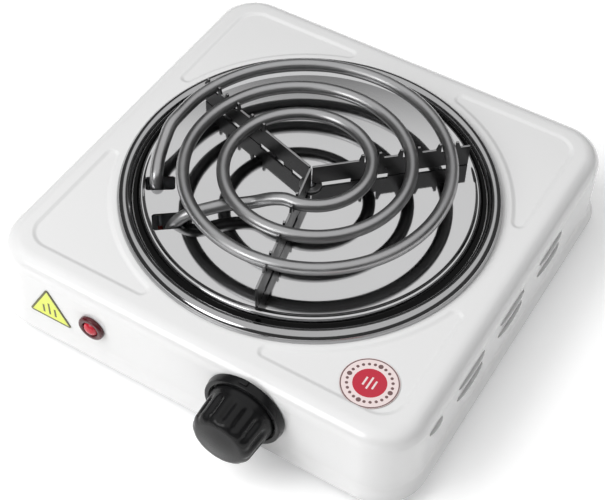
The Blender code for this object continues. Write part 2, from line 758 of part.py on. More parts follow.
def make_inlet():
    gland = [
        (0.0036, -0.0045), (0.0075, -0.0045), (0.0075, -SHEET - GAP), (0.0050, -SHEET - GAP),
        (0.0050, GAP), (0.0085, GAP), (0.0085, 0.0018), (0.0062, 0.0050), (0.0036, 0.0050),
    ]
    turned("cord_gland", gland, RUBBER, (GLAND_X, HALF, GLAND_Z), "Y", 20)
    floor = BASE_Z + BASE_SHEET + GAP
    x, y = GLAND_X, 0.080
    block = box("terminal_block", (x - 0.014, y - 0.007, floor), (x + 0.014, y + 0.007, floor + 0.012), CERAMIC)
    wells = bmesh.new()
    for way in (-1, 1):
        add_rod(wells, (x + way * 0.0065, y, floor + 0.005), (x + way * 0.0065, y, floor + 0.02), 0.0028, 16)
    cut(block, wells)
    for name, way in (("live", -1), ("neutral", 1)):
        screw = [(0, floor + 0.0053), (0.0024, floor + 0.0053), (0.0024, floor + 0.0100), (0, floor + 0.0100)]
        turned("terminal_screw_" + name, screw, BRASS, (x + way * 0.0065, y, 0), segments=12)
    earth = [(0, floor), (0.0034, floor), (0.0034, floor + 0.0026), (0, floor + 0.0026)]
    turned("earth_screw", earth, BRASS, (x - 0.026, y + 0.012, 0), segments=12)


make_inlet()


def make_wires():
    """Silicone-sleeved leads, which lie along the base plate and stop just short of their terminals."""
    low = BASE_Z + BASE_SHEET + 0.0025
    radius = 0.0013
    tab_x = KNOB_X - 0.0355
    block_y = 0.080 - 0.0070 - GAP - radius
    pin_z = LEG_BOTTOM - GAP - 0.014 - GAP - radius
    stack_z = BASE_Z + BASE_SHEET + GAP + 0.004
    routes = {
        "wire_live_feed": (SLEEVE_RED, [
            (GLAND_X - 0.0065, block_y, stack_z), (0.050, 0.055, low), (0.040, 0.010, low),
            (0.020, -0.040, low), (0.004, -0.075, low + 0.002), (-0.006, -0.098, KNOB_Z - 0.012),
            (tab_x - 0.0035, -0.1050, KNOB_Z - 0.0050),
        ]),
        "wire_switched": (SLEEVE_RED, [
            (tab_x - 0.0035, -0.0950, KNOB_Z - 0.0050), (-0.008, -0.090, KNOB_Z - 0.012),
            (-0.030, -0.076, low + 0.001), (-0.055, -0.058, low + 0.001),
            (OUTER_LEG.x, OUTER_LEG.y, pin_z - 0.003), (*OUTER_LEG, pin_z),
        ]),
        "wire_neutral": (SLEEVE_BLUE, [
            (GLAND_X + 0.0065, block_y, stack_z), (0.055, 0.045, low + 0.006), (0.030, 0.016, low + 0.006),
            (-0.010, 0.016, low + 0.006), (-0.035, -0.015, low + 0.006), (-0.046, -0.045, low + 0.007),
            (*INNER_LEG, pin_z - 0.003), (*INNER_LEG, pin_z),
        ]),
        "lamp_lead_live": (SLEEVE_WHITE, [
            (LAMP_X + 0.0010, -HALF + 0.0160, LAMP_Z), (LAMP_X + 0.004, -0.090, LAMP_Z - 0.004),
            (-0.034, -0.086, LAMP_Z - 0.003), (-0.020, -0.092, LAMP_Z), (-0.0085, -0.0985, LAMP_Z + 0.004),
        ]),
        "lamp_lead_neutral": (SLEEVE_WHITE, [
            (LAMP_X - 0.0010, -HALF + 0.0160, LAMP_Z - 0.001), (LAMP_X - 0.003, -0.088, LAMP_Z - 0.006),
            (-0.050, -0.074, LAMP_Z - 0.006),
            (INNER_LEG.x - 0.0020, INNER_LEG.y - 0.0045, pin_z - 0.001),
        ]),
    }
    for name, (look, stops) in routes.items():
        thick = 0.0007 if name.startswith("lamp") else radius
        tube(name, smooth_route(stops, 0.012), thick, look)


make_wires()


def make_labels():
    """Thin labels: a triangle on the front wall and a disc in the front right corner panel."""
    off, thick = 0.00015, 0.00025
    middle = Vector((-0.0777, EDGE_Z + 0.0185))
    reach = 0.0148
    corner = 0.0014
    outline = []
    for k in range(3):
        way = math.radians(90 + 120 * k)
        tip = middle + (reach - 2 * corner) * Vector((math.cos(way), math.sin(way)))
        for step in (-60, -20, 20, 60):
            a = way + math.radians(step)
            outline.append(tip + corner * Vector((math.cos(a), math.sin(a))))
    bm = bmesh.new()
    loft(bm, [[(p.x, y, p.y) for p in outline] for y in (-HALF - off - thick, -HALF - off)])
    finish("heat_label", bm, YELLOW)
    low = DECK_Z - PANEL_DEPTH + off
    disc = [(0, low), (0.0136, low), (0.0136, low + thick), (0, low + thick)]
    turned("caution_label", disc, RED_LABEL, (0.0822, -0.0876, 0), segments=40)


make_labels()
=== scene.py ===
"""The looks of a single-coil electric hot plate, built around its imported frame. Metres, +Z up, front -Y."""

import math

import bmesh
import bpy
from mathutils import Matrix, Vector


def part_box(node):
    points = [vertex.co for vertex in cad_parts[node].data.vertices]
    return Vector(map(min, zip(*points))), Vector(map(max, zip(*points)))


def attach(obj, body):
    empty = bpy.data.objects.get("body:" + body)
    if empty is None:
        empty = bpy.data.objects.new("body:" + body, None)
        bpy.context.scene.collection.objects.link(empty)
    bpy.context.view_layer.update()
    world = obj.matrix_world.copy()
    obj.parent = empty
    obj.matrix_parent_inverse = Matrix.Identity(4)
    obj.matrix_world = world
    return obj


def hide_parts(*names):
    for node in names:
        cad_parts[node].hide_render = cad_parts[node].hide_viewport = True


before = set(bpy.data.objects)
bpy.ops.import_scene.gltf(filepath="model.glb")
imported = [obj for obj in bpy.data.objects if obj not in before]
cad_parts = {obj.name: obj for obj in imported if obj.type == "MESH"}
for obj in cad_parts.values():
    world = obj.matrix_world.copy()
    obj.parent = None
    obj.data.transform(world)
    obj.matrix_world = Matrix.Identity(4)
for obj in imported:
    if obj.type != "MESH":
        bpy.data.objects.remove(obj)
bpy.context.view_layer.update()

# Camera -------------------------------------------------------------------------------------
# A long lens looks down from the front right corner. It turns about a point at the middle of
# the housing's lower edge, and a little roll and slide frame the whole hot plate.

AZIMUTH = math.radians(29.56)
ELEVATION = math.radians(49.33)
ROLL = math.radians(1.99)
DISTANCE = 0.7156
LENS = 81.57
SLIDE_RIGHT, SLIDE_UP = -0.00358, -0.00218

shell_low, shell_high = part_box("housing_shell")
aim = Vector(((shell_low.x + shell_high.x) / 2, (shell_low.y + shell_high.y) / 2, shell_low.z))
lens = bpy.data.cameras.new("camera")
lens.lens = LENS
lens.sensor_width = 36
lens.clip_start, lens.clip_end = 0.01, 50
camera = bpy.data.objects.new("camera", lens)
bpy.context.scene.collection.objects.link(camera)
turn = (
    Matrix.Rotation(AZIMUTH, 4, "Z")
    @ Matrix.Rotation(math.pi / 2 - ELEVATION, 4, "X")
    @ Matrix.Rotation(ROLL, 4, "Z")
)
camera.matrix_world = Matrix.Translation(aim) @ turn @ Matrix.Translation((SLIDE_RIGHT, SLIDE_UP, DISTANCE))
bpy.context.scene.camera = camera

# Studio -------------------------------------------------------------------------------------
# A pale table, and a wide bright ceiling above a dark room, which the polished metal mirrors. Two
# soft lamps, from the front left and the rear right, only light; a third makes the highlights.

TABLE_COLOUR = (0.93, 0.93, 0.93, 1)
TABLE_ROUGHNESS, TABLE_GLOSS = 0.9, 0.1
TABLE_HALF = 5
WHITE = (1, 1, 1, 1)
CEILING_GLOW = 0.86
ROOM_GLOW = 0.07
BACKDROP_GLOW = 0.95
CEILING_FROM, CEILING_FULL = math.radians(41), math.radians(45)
TABLE_GLOW = 0.22
KEY_PLACE, KEY_POWER, KEY_SIZE = Vector((-1.00, -0.80, 1.35)), 21.5, 1.2
SIDE_PLACE, SIDE_POWER, SIDE_SIZE = Vector((1.30, 0.90, 0.70)), 2.5, 0.9
SPARK_PLACE, SPARK_POWER, SPARK_SIZE = Vector((-0.45, -1.25, 0.95)), 6.0, 0.80

bpy.context.scene.view_settings.view_transform = "Standard"

bm = bmesh.new()
bmesh.ops.create_grid(bm, x_segments=1, y_segments=1, size=TABLE_HALF)
table_mesh = bpy.data.meshes.new("table")
bm.to_mesh(table_mesh)
bm.free()
table = bpy.data.objects.new("table", table_mesh)
bpy.context.scene.collection.objects.link(table)
table_paint = bpy.data.materials.new("matt_white_table")
table_paint.use_nodes = True
table_shader = table_paint.node_tree.nodes["Principled BSDF"]
table_shader.inputs["Base Color"].default_value = TABLE_COLOUR
table_shader.inputs["Roughness"].default_value = TABLE_ROUGHNESS
table_shader.inputs["Specular IOR Level"].default_value = TABLE_GLOSS
table_shader.inputs["Emission Color"].default_value = WHITE
table_shader.inputs["Emission Strength"].default_value = TABLE_GLOW
table_mesh.materials.append(table_paint)

room = bpy.data.worlds.new("studio")
bpy.context.scene.world = room
room.use_nodes = True
wires = room.node_tree.links
way = room.node_tree.nodes.new("ShaderNodeTexCoord")
split = room.node_tree.nodes.new("ShaderNodeSeparateXYZ")
height = room.node_tree.nodes.new("ShaderNodeMapRange")
height.interpolation_type = "SMOOTHSTEP"
height.inputs["From Min"].default_value = math.sin(CEILING_FROM)
height.inputs["From Max"].default_value = math.sin(CEILING_FULL)
height.inputs["To Min"].default_value = ROOM_GLOW
height.inputs["To Max"].default_value = CEILING_GLOW
seen = room.node_tree.nodes.new("ShaderNodeLightPath")
backdrop = room.node_tree.nodes.new("ShaderNodeMix")
backdrop.inputs["B"].default_value = BACKDROP_GLOW
glow = room.node_tree.nodes["Background"]
wires.new(way.outputs["Generated"], split.inputs["Vector"])
wires.new(split.outputs["Z"], height.inputs["Value"])
wires.new(seen.outputs["Is Camera Ray"], backdrop.inputs["Factor"])
wires.new(height.outputs["Result"], backdrop.inputs["A"])
wires.new(backdrop.outputs["Result"], glow.inputs["Strength"])
glow.inputs["Color"].default_value = WHITE


def softbox(name, place, power, size, shows_in_metal):
    lamp = bpy.data.lights.new(name, "AREA")
    lamp.energy = power
    lamp.shape = "DISK"
    lamp.size = size
    holder = bpy.data.objects.new(name, lamp)
    holder.location = place
    holder.rotation_euler = (aim - place).to_track_quat("-Z", "Y").to_euler()
    holder.visible_glossy = shows_in_metal
    holder.visible_camera = False
    bpy.context.scene.collection.objects.link(holder)


softbox("key_softbox", KEY_PLACE, KEY_POWER, KEY_SIZE, False)
softbox("side_softbox", SIDE_PLACE, SIDE_POWER, SIDE_SIZE, False)
softbox("spark_softbox", SPARK_PLACE, SPARK_POWER, SPARK_SIZE, True)

# Housing shell ------------------------------------------------------------------------------
# One deep-drawn steel pressing in glossy white enamel. Its foot flares out, four flat corner
# panels are pressed into the deck, and louvres are pierced and pressed along both sides.

deck_z = shell_high.z
edge_z = shell_low.z
FLARE = 0.0025
FLARE_HEIGHT = 0.008
HALF = (shell_high.x - shell_low.x) / 2 - FLARE
CORNER = 0.0233
EDGE_ROUND = 0.009
SHEET = 0.0012
MIDDLE = Vector((aim.x, aim.y, 0))
ring_low, ring_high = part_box("trim_ring")
BURNER = Vector(((ring_low.x + ring_high.x) / 2, (ring_low.y + ring_high.y) / 2, 0))
OPENING_R = 0.084

PANEL_LINE = 0.102
PANEL_ARC = 0.0990
PANEL_CORNER = 0.013
PANEL_TIP = 0.0044
# The pressed step from deck to panel: how far in, and how far down.
PANEL_STEP = (
    (0.0, 0.0),
    (0.0005, 0.00004),
    (0.0011, 0.00024),
    (0.0017, 0.00048),
    (0.0023, 0.00066),
    (0.0029, 0.0007),
)

LOUVRE_ROWS = (0.0325, 0.0235)
LOUVRES = ((0.038, 0.026), (-0.006, 0.026), (-0.049, 0.026))
SHORT_LOUVRE = (-0.0845, 0.012)
LOUVRE_OPEN, LOUVRE_END = 0.0015, 0.00065
LOUVRE_CUT = 0.012
LIP_OUT, LIP_DOWN = 0.0014, 0.0034


def surface(name, colour, roughness, metallic=0.0, mottle=0.05, patch=45, grain=1200, relief=0.00001):
    """A Principled finish. Broad noise mottles its colour and gloss, and fine grain gives relief."""
    made = bpy.data.materials.new(name)
    made.use_nodes = True
    nodes, links = made.node_tree.nodes, made.node_tree.links
    shader = nodes["Principled BSDF"]
    shader.inputs["Metallic"].default_value = metallic
    coordinates = nodes.new("ShaderNodeTexCoord")
    broad = nodes.new("ShaderNodeTexNoise")
    broad.inputs["Scale"].default_value = patch
    broad.inputs["Detail"].default_value = 5
    fine = nodes.new("ShaderNodeTexNoise")
    fine.inputs["Scale"].default_value = grain
    fine.inputs["Detail"].default_value = 3
    for noise in (broad, fine):
        links.new(coordinates.outputs["Object"], noise.inputs["Vector"])
    tint = nodes.new("ShaderNodeMix")
    tint.data_type = "RGBA"
    tint.inputs["A"].default_value = (*(c * (1 - mottle) for c in colour), 1)
    tint.inputs["B"].default_value = (*(min(1, c * (1 + mottle)) for c in colour), 1)
    links.new(broad.outputs["Fac"], tint.inputs["Factor"])
    links.new(tint.outputs["Result"], shader.inputs["Base Color"])
    gloss = nodes.new("ShaderNodeMapRange")
    gloss.inputs["From Min"].default_value = 0.3
    gloss.inputs["From Max"].default_value = 0.7
    gloss.inputs["To Min"].default_value = roughness * 0.8
    gloss.inputs["To Max"].default_value = roughness * 1.2
    links.new(broad.outputs["Fac"], gloss.inputs["Value"])
    links.new(gloss.outputs["Result"], shader.inputs["Roughness"])
    bump = nodes.new("ShaderNodeBump")
    bump.inputs["Distance"].default_value = relief
    links.new(fine.outputs["Fac"], bump.inputs["Height"])
    links.new(bump.outputs["Normal"], shader.inputs["Normal"])
    return made


def paint_shade(finish, reading, low, high, left):
    """Paints shade into a finish's colour: darkens it to a share where a reading is low, and leaves it
    unchanged where the reading is high.
    """
    nodes, links = finish.node_tree.nodes, finish.node_tree.links
    shader = nodes["Principled BSDF"]
    unshaded = shader.inputs["Base Color"].links[0].from_socket
    fade = nodes.new("ShaderNodeMapRange")
    fade.interpolation_type = "SMOOTHSTEP"
    for name, value in (("From Min", low), ("From Max", high), ("To Min", left), ("To Max", 1.0)):
        fade.inputs[name].default_value = value
    links.new(reading, fade.inputs["Value"])
    shade = nodes.new("ShaderNodeMix")
    shade.data_type = "RGBA"
    shade.blend_type = "MULTIPLY"
    shade.inputs["Factor"].default_value = 1
    links.new(unshaded, shade.inputs["A"])
    links.new(fade.outputs["Result"], shade.inputs["B"])
    links.new(shade.outputs["Result"], shader.inputs["Base Color"])


def facing_up(finish):
    """How far a surface faces upwards, from -1 to 1."""
    nodes = finish.node_tree.nodes
    split = nodes.new("ShaderNodeSeparateXYZ")
    finish.node_tree.links.new(nodes["Texture Coordinate"].outputs["Normal"], split.inputs["Vector"])
    return split.outputs["Z"]


def piece(name, bm, finish, body="housing", sharp=35, weighted=False):
    """A mesh object from a bmesh, smooth except past the sharp angle, which rides on a body."""
    mesh = bpy.data.meshes.new(name)
    bm.to_mesh(mesh)
    bm.free()
    for material in finish if isinstance(finish, (list, tuple)) else (finish,):
        mesh.materials.append(material)
    mesh.shade_smooth()
    mesh.set_sharp_from_angle(angle=math.radians(sharp))
    made = bpy.data.objects.new(name, mesh)
    bpy.context.scene.collection.objects.link(made)
    if weighted:
        made.modifiers.new("flat faces stay flat", "WEIGHTED_NORMAL").keep_sharp = True
    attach(made, body)
    return made


def dress(finish, *names):
    """Gives CAD nodes their finish."""
    for name in names:
        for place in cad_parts[name].material_slots:
            place.material = finish


def combine(target, tool, operation):
    """Cuts a tool's bmesh from a mesh object, or joins it on, and leaves a plain mesh."""
    mesh = bpy.data.meshes.new("tool")
    tool.to_mesh(mesh)
    tool.free()
    other = bpy.data.objects.new("tool", mesh)
    bpy.context.scene.collection.objects.link(other)
    change = target.modifiers.new("tool", "BOOLEAN")
    change.operation = operation
    change.solver = "EXACT"
    change.object = other
    settled = bpy.data.meshes.new_from_object(target.evaluated_get(bpy.context.evaluated_depsgraph_get()))
    target.modifiers.clear()
    target.data = settled
    bpy.data.objects.remove(other, do_unlink=True)


def panel_loop(bm, side, inset, drop):
    """A pressed panel's outline: two tips, the arc round the ring and the outer corner, as spun arcs."""
    tip, arc, corner = PANEL_TIP - inset, PANEL_ARC + inset, PANEL_CORNER - inset
    reach = PANEL_LINE - PANEL_TIP
    offset = math.sqrt((PANEL_ARC + PANEL_TIP) ** 2 - reach**2)
    spread = math.atan2(offset, reach)
    far = PANEL_LINE - PANEL_CORNER
    # Each stretch: centre, radius, first and last angle, steps.
    stretches = (
        ((offset, reach), tip, math.pi / 2, math.tau * 0.75 - spread, 12),
        ((0, 0), arc, math.pi / 2 - spread, spread, 36),
        ((reach, offset), tip, math.pi + spread, math.tau, 12),
        ((far, far), corner, 0, math.pi / 2, 14),
    )
    ordered = []
    for (x, y), radius, first, last, steps in stretches:
        centre = Vector((x, y, deck_z - drop))
        start = bm.verts.new(centre + radius * Vector((math.cos(first), math.sin(first), 0)))
        before = set(bm.verts)
        bmesh.ops.spin(bm, geom=[start], cent=centre, axis=(0, 0, 1), angle=last - first, steps=steps)
        spun = [v for v in bm.verts if v not in before]
        ordered += [start] + sorted(spun, key=lambda v: v.index)
    bm.verts.index_update()
    edges = {e for v in ordered for e in v.link_edges}
    for a, b in zip(ordered, ordered[1:] + ordered[:1]):
        if not bm.edges.get((a, b)):
            edges.add(bm.edges.new((a, b)))
    bmesh.ops.scale(bm, vec=(*side, 1), verts=ordered)
    bmesh.ops.translate(bm, vec=MIDDLE, verts=ordered)
    return list(edges)


def housing_skin():
    """A block with rounded corners and edges, hollow below, its foot flared and its deck pressed."""
    bm = bmesh.new()
    tall = deck_z - edge_z - FLARE_HEIGHT
    block = Matrix.Translation((*MIDDLE.xy, deck_z - tall / 2))
    block = block @ Matrix.Diagonal((2 * HALF, 2 * HALF, tall, 1))
    bmesh.ops.create_cube(bm, size=1, matrix=block)
    uprights = [e for e in bm.edges if abs(e.verts[0].co.z - e.verts[1].co.z) > tall / 2]
    bmesh.ops.bevel(bm, geom=uprights, offset=CORNER, segments=20, profile=0.5, affect="EDGES", material=-1)
    bottom = [f for f in bm.faces if f.calc_center_median().z < deck_z - tall * 0.99]
    bmesh.ops.delete(bm, geom=bottom, context="FACES_ONLY")
    rim = [e for e in bm.edges if min(v.co.z for v in e.verts) > deck_z - 1e-6]
    bmesh.ops.bevel(bm, geom=rim, offset=EDGE_ROUND, segments=14, profile=0.5, affect="EDGES", material=-1)
    hem = [e for e in bm.edges if e.is_boundary]
    steps = 8
    grown = 0.0
    for step in range(1, steps + 1):
        made = bmesh.ops.extrude_edge_only(bm, edges=hem)["geom"]
        lower = [v for v in made if isinstance(v, bmesh.types.BMVert)]
        hem = [e for e in made if isinstance(e, bmesh.types.BMEdge) and all(v in lower for v in e.verts)]
        grow = FLARE * (step / steps) ** 2
        factor = (HALF + grow) / (HALF + grown)
        grown = grow
        bmesh.ops.translate(bm, vec=(0, 0, -FLARE_HEIGHT / steps), verts=lower)
        bmesh.ops.scale(bm, vec=(factor, factor, 1), verts=lower, space=Matrix.Translation(-MIDDLE))
    top = [f for f in bm.faces if f.normal.z > 0.999 and f.calc_area() > HALF * HALF]
    outline = list(top[0].edges)
    bmesh.ops.delete(bm, geom=top, context="FACES_ONLY")
    opening = bmesh.ops.create_circle(
        bm, segments=144, radius=OPENING_R, matrix=Matrix.Translation((*BURNER.xy, deck_z))
    )["verts"]
    outline += list({e for v in opening for e in v.link_edges})
    for side in ((1, 1), (-1, 1), (-1, -1), (1, -1)):
        loops = [panel_loop(bm, side, inset, drop) for inset, drop in PANEL_STEP]
        outline += loops[0]
        for outer, inner in zip(loops, loops[1:]):
            bmesh.ops.bridge_loops(bm, edges=outer + inner)
        bmesh.ops.contextual_create(bm, geom=loops[-1])
    bmesh.ops.triangle_fill(bm, use_beauty=True, edges=outline, normal=(0, 0, 1))
    bmesh.ops.recalc_face_normals(bm, faces=bm.faces)
    return bm


def louvres():
    """The pierced slots, and the pressed lips below them, as two sets of tools."""
    slots, lips = bmesh.new(), bmesh.new()
    places = [(y, length, z) for y, length in LOUVRES for z in LOUVRE_ROWS]
    places.append((*SHORT_LOUVRE, LOUVRE_ROWS[0]))
    for side in (-1, 1):
        for y, length, z in places:
            middle = Vector((MIDDLE.x + side * HALF, MIDDLE.y + y, edge_z + z))
            shape = Matrix.Translation(middle) @ Matrix.Diagonal((LOUVRE_CUT, length, LOUVRE_OPEN, 1))
            made = bmesh.ops.create_cube(slots, size=1, matrix=shape)["verts"]
            edges = {e for v in made for e in v.link_edges}
            ends = [e for e in edges if abs(e.verts[0].co.x - e.verts[1].co.x) > LOUVRE_CUT / 2]
            bmesh.ops.bevel(
                slots, geom=ends, offset=LOUVRE_END, segments=4, profile=0.5, affect="EDGES", material=-1
            )
            below = middle - Vector((0, 0, LOUVRE_OPEN / 2))
            shape = Matrix.Translation(below) @ Matrix.Diagonal((LIP_OUT, length / 2, LIP_DOWN, 1))
            lip = bmesh.new()
            bmesh.ops.create_uvsphere(lip, u_segments=40, v_segments=24, radius=1, matrix=shape)
            halves = lip.verts[:] + lip.edges[:] + lip.faces[:]
            bmesh.ops.bisect_plane(lip, geom=halves, plane_co=below, plane_no=(0, 0, 1), clear_outer=True)
            bmesh.ops.holes_fill(lip, edges=[e for e in lip.edges if e.is_boundary])
            copy = bpy.data.meshes.new("lip")
            lip.to_mesh(copy)
            lip.free()
            lips.from_mesh(copy)
            bpy.data.meshes.remove(copy)
    return slots, lips


enamel = surface(
    "glossy_white_enamel", (0.74, 0.74, 0.74), 0.16, mottle=0.015, patch=9, grain=260, relief=0.000012
)
enamel.node_tree.nodes["Principled BSDF"].inputs["Coat Weight"].default_value = 0.4
enamel.node_tree.nodes["Principled BSDF"].inputs["Coat Roughness"].default_value = 0.08

housing = piece("housing_pressing", housing_skin(), enamel)
wall = housing.modifiers.new("sheet", "SOLIDIFY")
wall.thickness = SHEET
wall.offset = -1
wall.use_even_offset = True
slot_tool, lip_tool = louvres()
combine(housing, lip_tool, "UNION")
combine(housing, slot_tool, "DIFFERENCE")
housing.data.set_sharp_from_angle(angle=math.radians(35))
housing.modifiers.new("flat faces stay flat", "WEIGHTED_NORMAL").keep_sharp = True
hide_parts("housing_shell")

# Trim ring ----------------------------------------------------------------------------------
# A rolled bead of chromed sheet steel round the drip pan. It is turned from one section, a half
# round that is hollow below, and it holds the pan's flange down on the deck.

RING_SHEET = 0.0008


def spun(profile, centre, steps, facing=Matrix.Identity(4), closed=True):
    """A bmesh turned round an axis through a point. The profile is (radius, height) pairs."""
    bm = bmesh.new()
    row = [bm.verts.new((radius, 0, height)) for radius, height in profile]
    pairs = list(zip(row, row[1:]))
    if closed:
        pairs.append((row[-1], row[0]))
    outline = row + [bm.edges.new(pair) for pair in pairs]
    bmesh.ops.spin(
        bm, geom=outline, axis=(0, 0, 1), cent=(0, 0, 0), angle=math.tau, steps=steps, use_merge=True
    )
    bmesh.ops.remove_doubles(bm, verts=bm.verts, dist=0.000002)
    bmesh.ops.recalc_face_normals(bm, faces=bm.faces)
    bmesh.ops.transform(bm, matrix=Matrix.Translation(centre) @ facing, verts=bm.verts)
    return bm


def arc(x, z, across, up, first, last, steps):
    """Points on an elliptical arc in a section, from one angle to another in degrees."""
    found = []
    for k in range(steps + 1):
        a = math.radians(first + (last - first) * k / steps)
        found.append((x + across * math.cos(a), z + up * math.sin(a)))
    return found


chrome = surface(
    "polished_chrome", (0.46, 0.46, 0.465), 0.10, metallic=1, mottle=0.04, patch=70, grain=900,
    relief=0.000002,
)
RING_HALF = 0.0038
ring_r = (ring_high.x - ring_low.x) / 2 - RING_HALF
ring_up = ring_high.z - ring_low.z
bead = arc(ring_r, ring_low.z, RING_HALF, ring_up, 0, 180, 28)
bead += arc(ring_r, ring_low.z, RING_HALF - RING_SHEET, ring_up - RING_SHEET, 180, 0, 16)
ring = piece("trim_ring_bead", spun(bead, BURNER, 240), chrome)
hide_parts("trim_ring")

# Drip pan -----------------------------------------------------------------------------------
# A disc of mirror-polished sheet with spinning marks, a small stiffening bead near its rim and
# a flange that the ring holds down. Two slots let the heating tube's legs through.

pan_low, pan_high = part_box("drip_pan")
PAN_BEAD = 0.0006
PAN_SHEET = 0.0006
pan_z = pan_high.z - PAN_BEAD
# Slots for the outer and the inner leg: middle, half length and half width, and turn in degrees.
LEG_SLOTS = (
    (Vector((-0.0635, -0.0398)), (0.0074, 0.0046), 34),
    (Vector((-0.0453, -0.0580)), (0.0086, 0.0053), 38),
)


def spun_metal(name, colour, roughness, centre, marks, relief, mottle=0.03):
    """Polished metal with the fine rings that spinning and polishing leave round an axis."""
    made = surface(name, colour, roughness, metallic=1, mottle=mottle, patch=30, grain=700, relief=0.000001)
    nodes, links = made.node_tree.nodes, made.node_tree.links
    coordinates = nodes["Texture Coordinate"]
    offset = nodes.new("ShaderNodeVectorMath")
    offset.operation = "SUBTRACT"
    offset.inputs[1].default_value = centre
    flat = nodes.new("ShaderNodeVectorMath")
    flat.operation = "MULTIPLY"
    flat.inputs[1].default_value = (1, 1, 0)
    radius = nodes.new("ShaderNodeVectorMath")
    radius.operation = "LENGTH"
    radius.name = "radius"
    rings = nodes.new("ShaderNodeTexNoise")
    rings.noise_dimensions = "1D"
    rings.inputs["Scale"].default_value = marks
    rings.inputs["Detail"].default_value = 6
    bump = nodes.new("ShaderNodeBump")
    bump.inputs["Distance"].default_value = relief
    links.new(coordinates.outputs["Object"], offset.inputs[0])
    links.new(offset.outputs["Vector"], flat.inputs[0])
    links.new(flat.outputs["Vector"], radius.inputs[0])
    links.new(radius.outputs["Value"], rings.inputs["W"])
    links.new(rings.outputs["Fac"], bump.inputs["Height"])
    links.new(nodes["Bump"].outputs["Normal"], bump.inputs["Normal"])
    links.new(bump.outputs["Normal"], nodes["Principled BSDF"].inputs["Normal"])
    return made


PAN_HOLE_R, PAN_RIM_R = 0.0034, 0.0876
SLOT_CORNER, SLOT_DEEP = 0.0015, 0.008
mirror_steel = spun_metal(
    "mirror_polished_steel", (0.66, 0.66, 0.665), 0.07, (*BURNER.xy, 0), 1500, 0.0000012
)
# Painted shade: the pan's colour is darkened from the narrow groove between its rim bead and the ring
# outwards.
paint_shade(mirror_steel, mirror_steel.node_tree.nodes["radius"].outputs["Value"], 0.0849, 0.0844, 0.015)
flange = pan_low.z + PAN_SHEET
over = [(PAN_HOLE_R, pan_z), (0.0808, pan_z), (0.0816, pan_z + 0.00008), (0.0822, pan_z + 0.0003)]
over += arc(0.0832, pan_z - 0.0004, 0.0011, PAN_BEAD + 0.0004, 120, 8, 10)
over += [(0.0846, pan_z - 0.0012), (0.0848, flange + 0.0004), (0.0852, flange + 0.0001)]
over += [(0.0860, flange), (PAN_RIM_R, flange)]
under = [(PAN_RIM_R, pan_low.z), (0.0848, pan_low.z), (0.0842, pan_low.z + 0.0005), (0.0839, pan_z - 0.0012)]
under += [(0.0835, pan_z - 0.0003), (0.0829, pan_z - 0.0001), (0.0820, pan_z - 0.0004)]
under += [(0.0808, pan_z - PAN_SHEET), (PAN_HOLE_R, pan_z - PAN_SHEET)]
pan = piece("mirror_drip_pan", spun(over + under, BURNER, 240), mirror_steel)
slots = bmesh.new()
for place, (long, short), degrees in LEG_SLOTS:
    shape = Matrix.Translation((*(MIDDLE.xy + place), pan_z)) @ Matrix.Rotation(math.radians(degrees), 4, "Z")
    shape = shape @ Matrix.Diagonal((2 * long, 2 * short, SLOT_DEEP, 1))
    made = bmesh.ops.create_cube(slots, size=1, matrix=shape)["verts"]
    ends = {e for v in made for e in v.link_edges if abs(e.verts[0].co.z - e.verts[1].co.z) > SLOT_DEEP / 2}
    bmesh.ops.bevel(
        slots, geom=list(ends), offset=SLOT_CORNER, segments=4, profile=0.5, affect="EDGES", material=-1
    )
combine(pan, slots, "DIFFERENCE")
pan.data.set_sharp_from_angle(angle=math.radians(35))
pan.modifiers.new("flat faces stay flat", "WEIGHTED_NORMAL").keep_sharp = True
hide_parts("drip_pan")

# Heating coil -------------------------------------------------------------------------------
# One steel-sheathed tube. From its inner leg it runs in a straight tail under the turns, rises
# in an S-bend to the first turn, winds outwards, and drops along its last quarter turn.

coil_low, coil_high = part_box("coil_element")
TUBE_R = 0.00325
TURN_Z = coil_high.z - TUBE_R
TAIL_Z = TURN_Z - 0.0073
SPIRAL_CENTRE = BURNER + Vector((-0.0013, -0.0008, 0))
SPIRAL_START, SPIRAL_END = math.radians(-84), math.radians(905)
SPIRAL_R, SPIRAL_PITCH, SPIRAL_REACH = 0.0251, 0.0196, 0.0731
OUTER_LEG = MIDDLE.xy + Vector((-0.0646, -0.0415))
INNER_LEG = MIDDLE.xy + Vector((-0.0444, -0.0589))
# The outer end's fall: how far along its arc, and how far down.
COIL_FALL = ((0.20, 0.0009), (0.36, 0.0030), (0.55, 0.0052), (0.74, 0.0068), (0.92, 0.0092))


